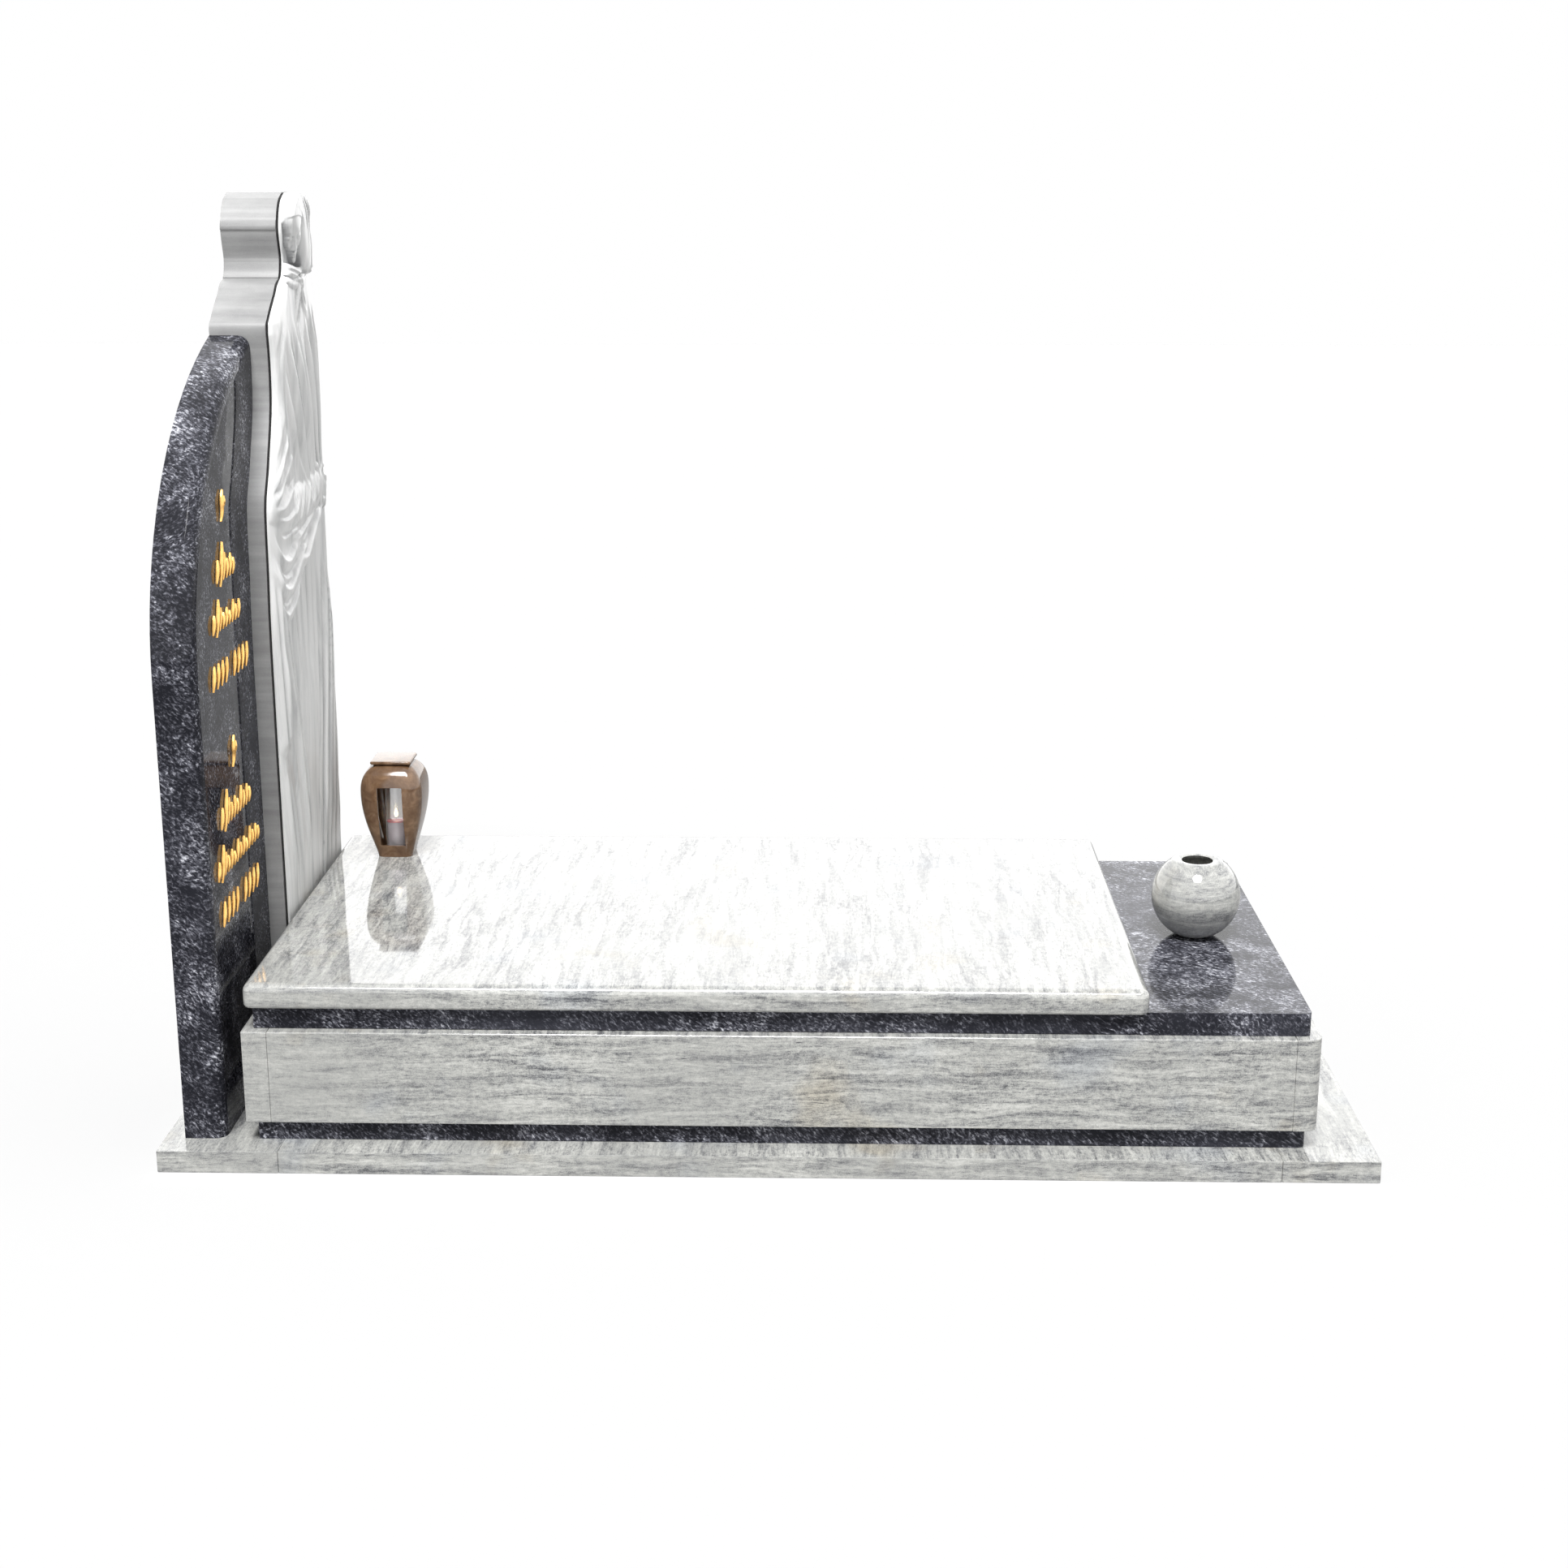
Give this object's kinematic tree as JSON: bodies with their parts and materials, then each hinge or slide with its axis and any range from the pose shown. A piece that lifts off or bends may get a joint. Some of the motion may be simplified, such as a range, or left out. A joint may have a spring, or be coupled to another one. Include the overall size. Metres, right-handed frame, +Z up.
{
  "type": "gravestone with sculpture",
  "caption": "Granite grave surround with kerb, cover slab, dark arched headstone wing, white marble veiled figure in relief on a grey backing, lantern and round vase.",
  "frame": {"origin": "middle of the base frame's underside, on the ground", "axes": "+X along the grave towards its foot, the headstone at -X; +Y towards the side with the figure; +Z up"},
  "size_m": [2.2, 1.046, 1.7084],
  "materials": {
    "pale_granite": "polished",
    "dark_granite": "polished",
    "grey_backing": "honed",
    "white_marble": "satin",
    "gilding": "satin gilt",
    "bronze_glaze": "gloss",
    "clear_glass": "clear",
    "wax": "wax"
  },
  "bodies": {
    "root": {"base_head": "pale_granite", "base_foot": "pale_granite", "base_side_near": "pale_granite", "base_side_far": "pale_granite", "kerb_head": "pale_granite", "kerb_foot": "pale_granite", "kerb_near": "pale_granite", "kerb_far": "pale_granite", "cover_slab": "pale_granite", "vase": "pale_granite", "plinth_near": "dark_granite", "plinth_far": "dark_granite", "plinth_head": "dark_granite", "plinth_foot": "dark_granite", "foot_slab": "dark_granite", "band_near": "dark_granite", "band_far": "dark_granite", "band_head": "dark_granite", "headstone_wing": "dark_granite", "backing_stone": "grey_backing", "relief_figure": "white_marble", "strokes_upper_mark": "gilding", "strokes_upper_1": "gilding", "strokes_upper_2": "gilding", "strokes_upper_3": "gilding", "strokes_lower_mark": "gilding", "strokes_lower_1": "gilding", "strokes_lower_2": "gilding", "strokes_lower_3": "gilding", "lantern_body": "bronze_glaze", "lantern_lid": "bronze_glaze", "candle_glass": "clear_glass", "candle_wax": "wax"}
  },
  "joints": []
}
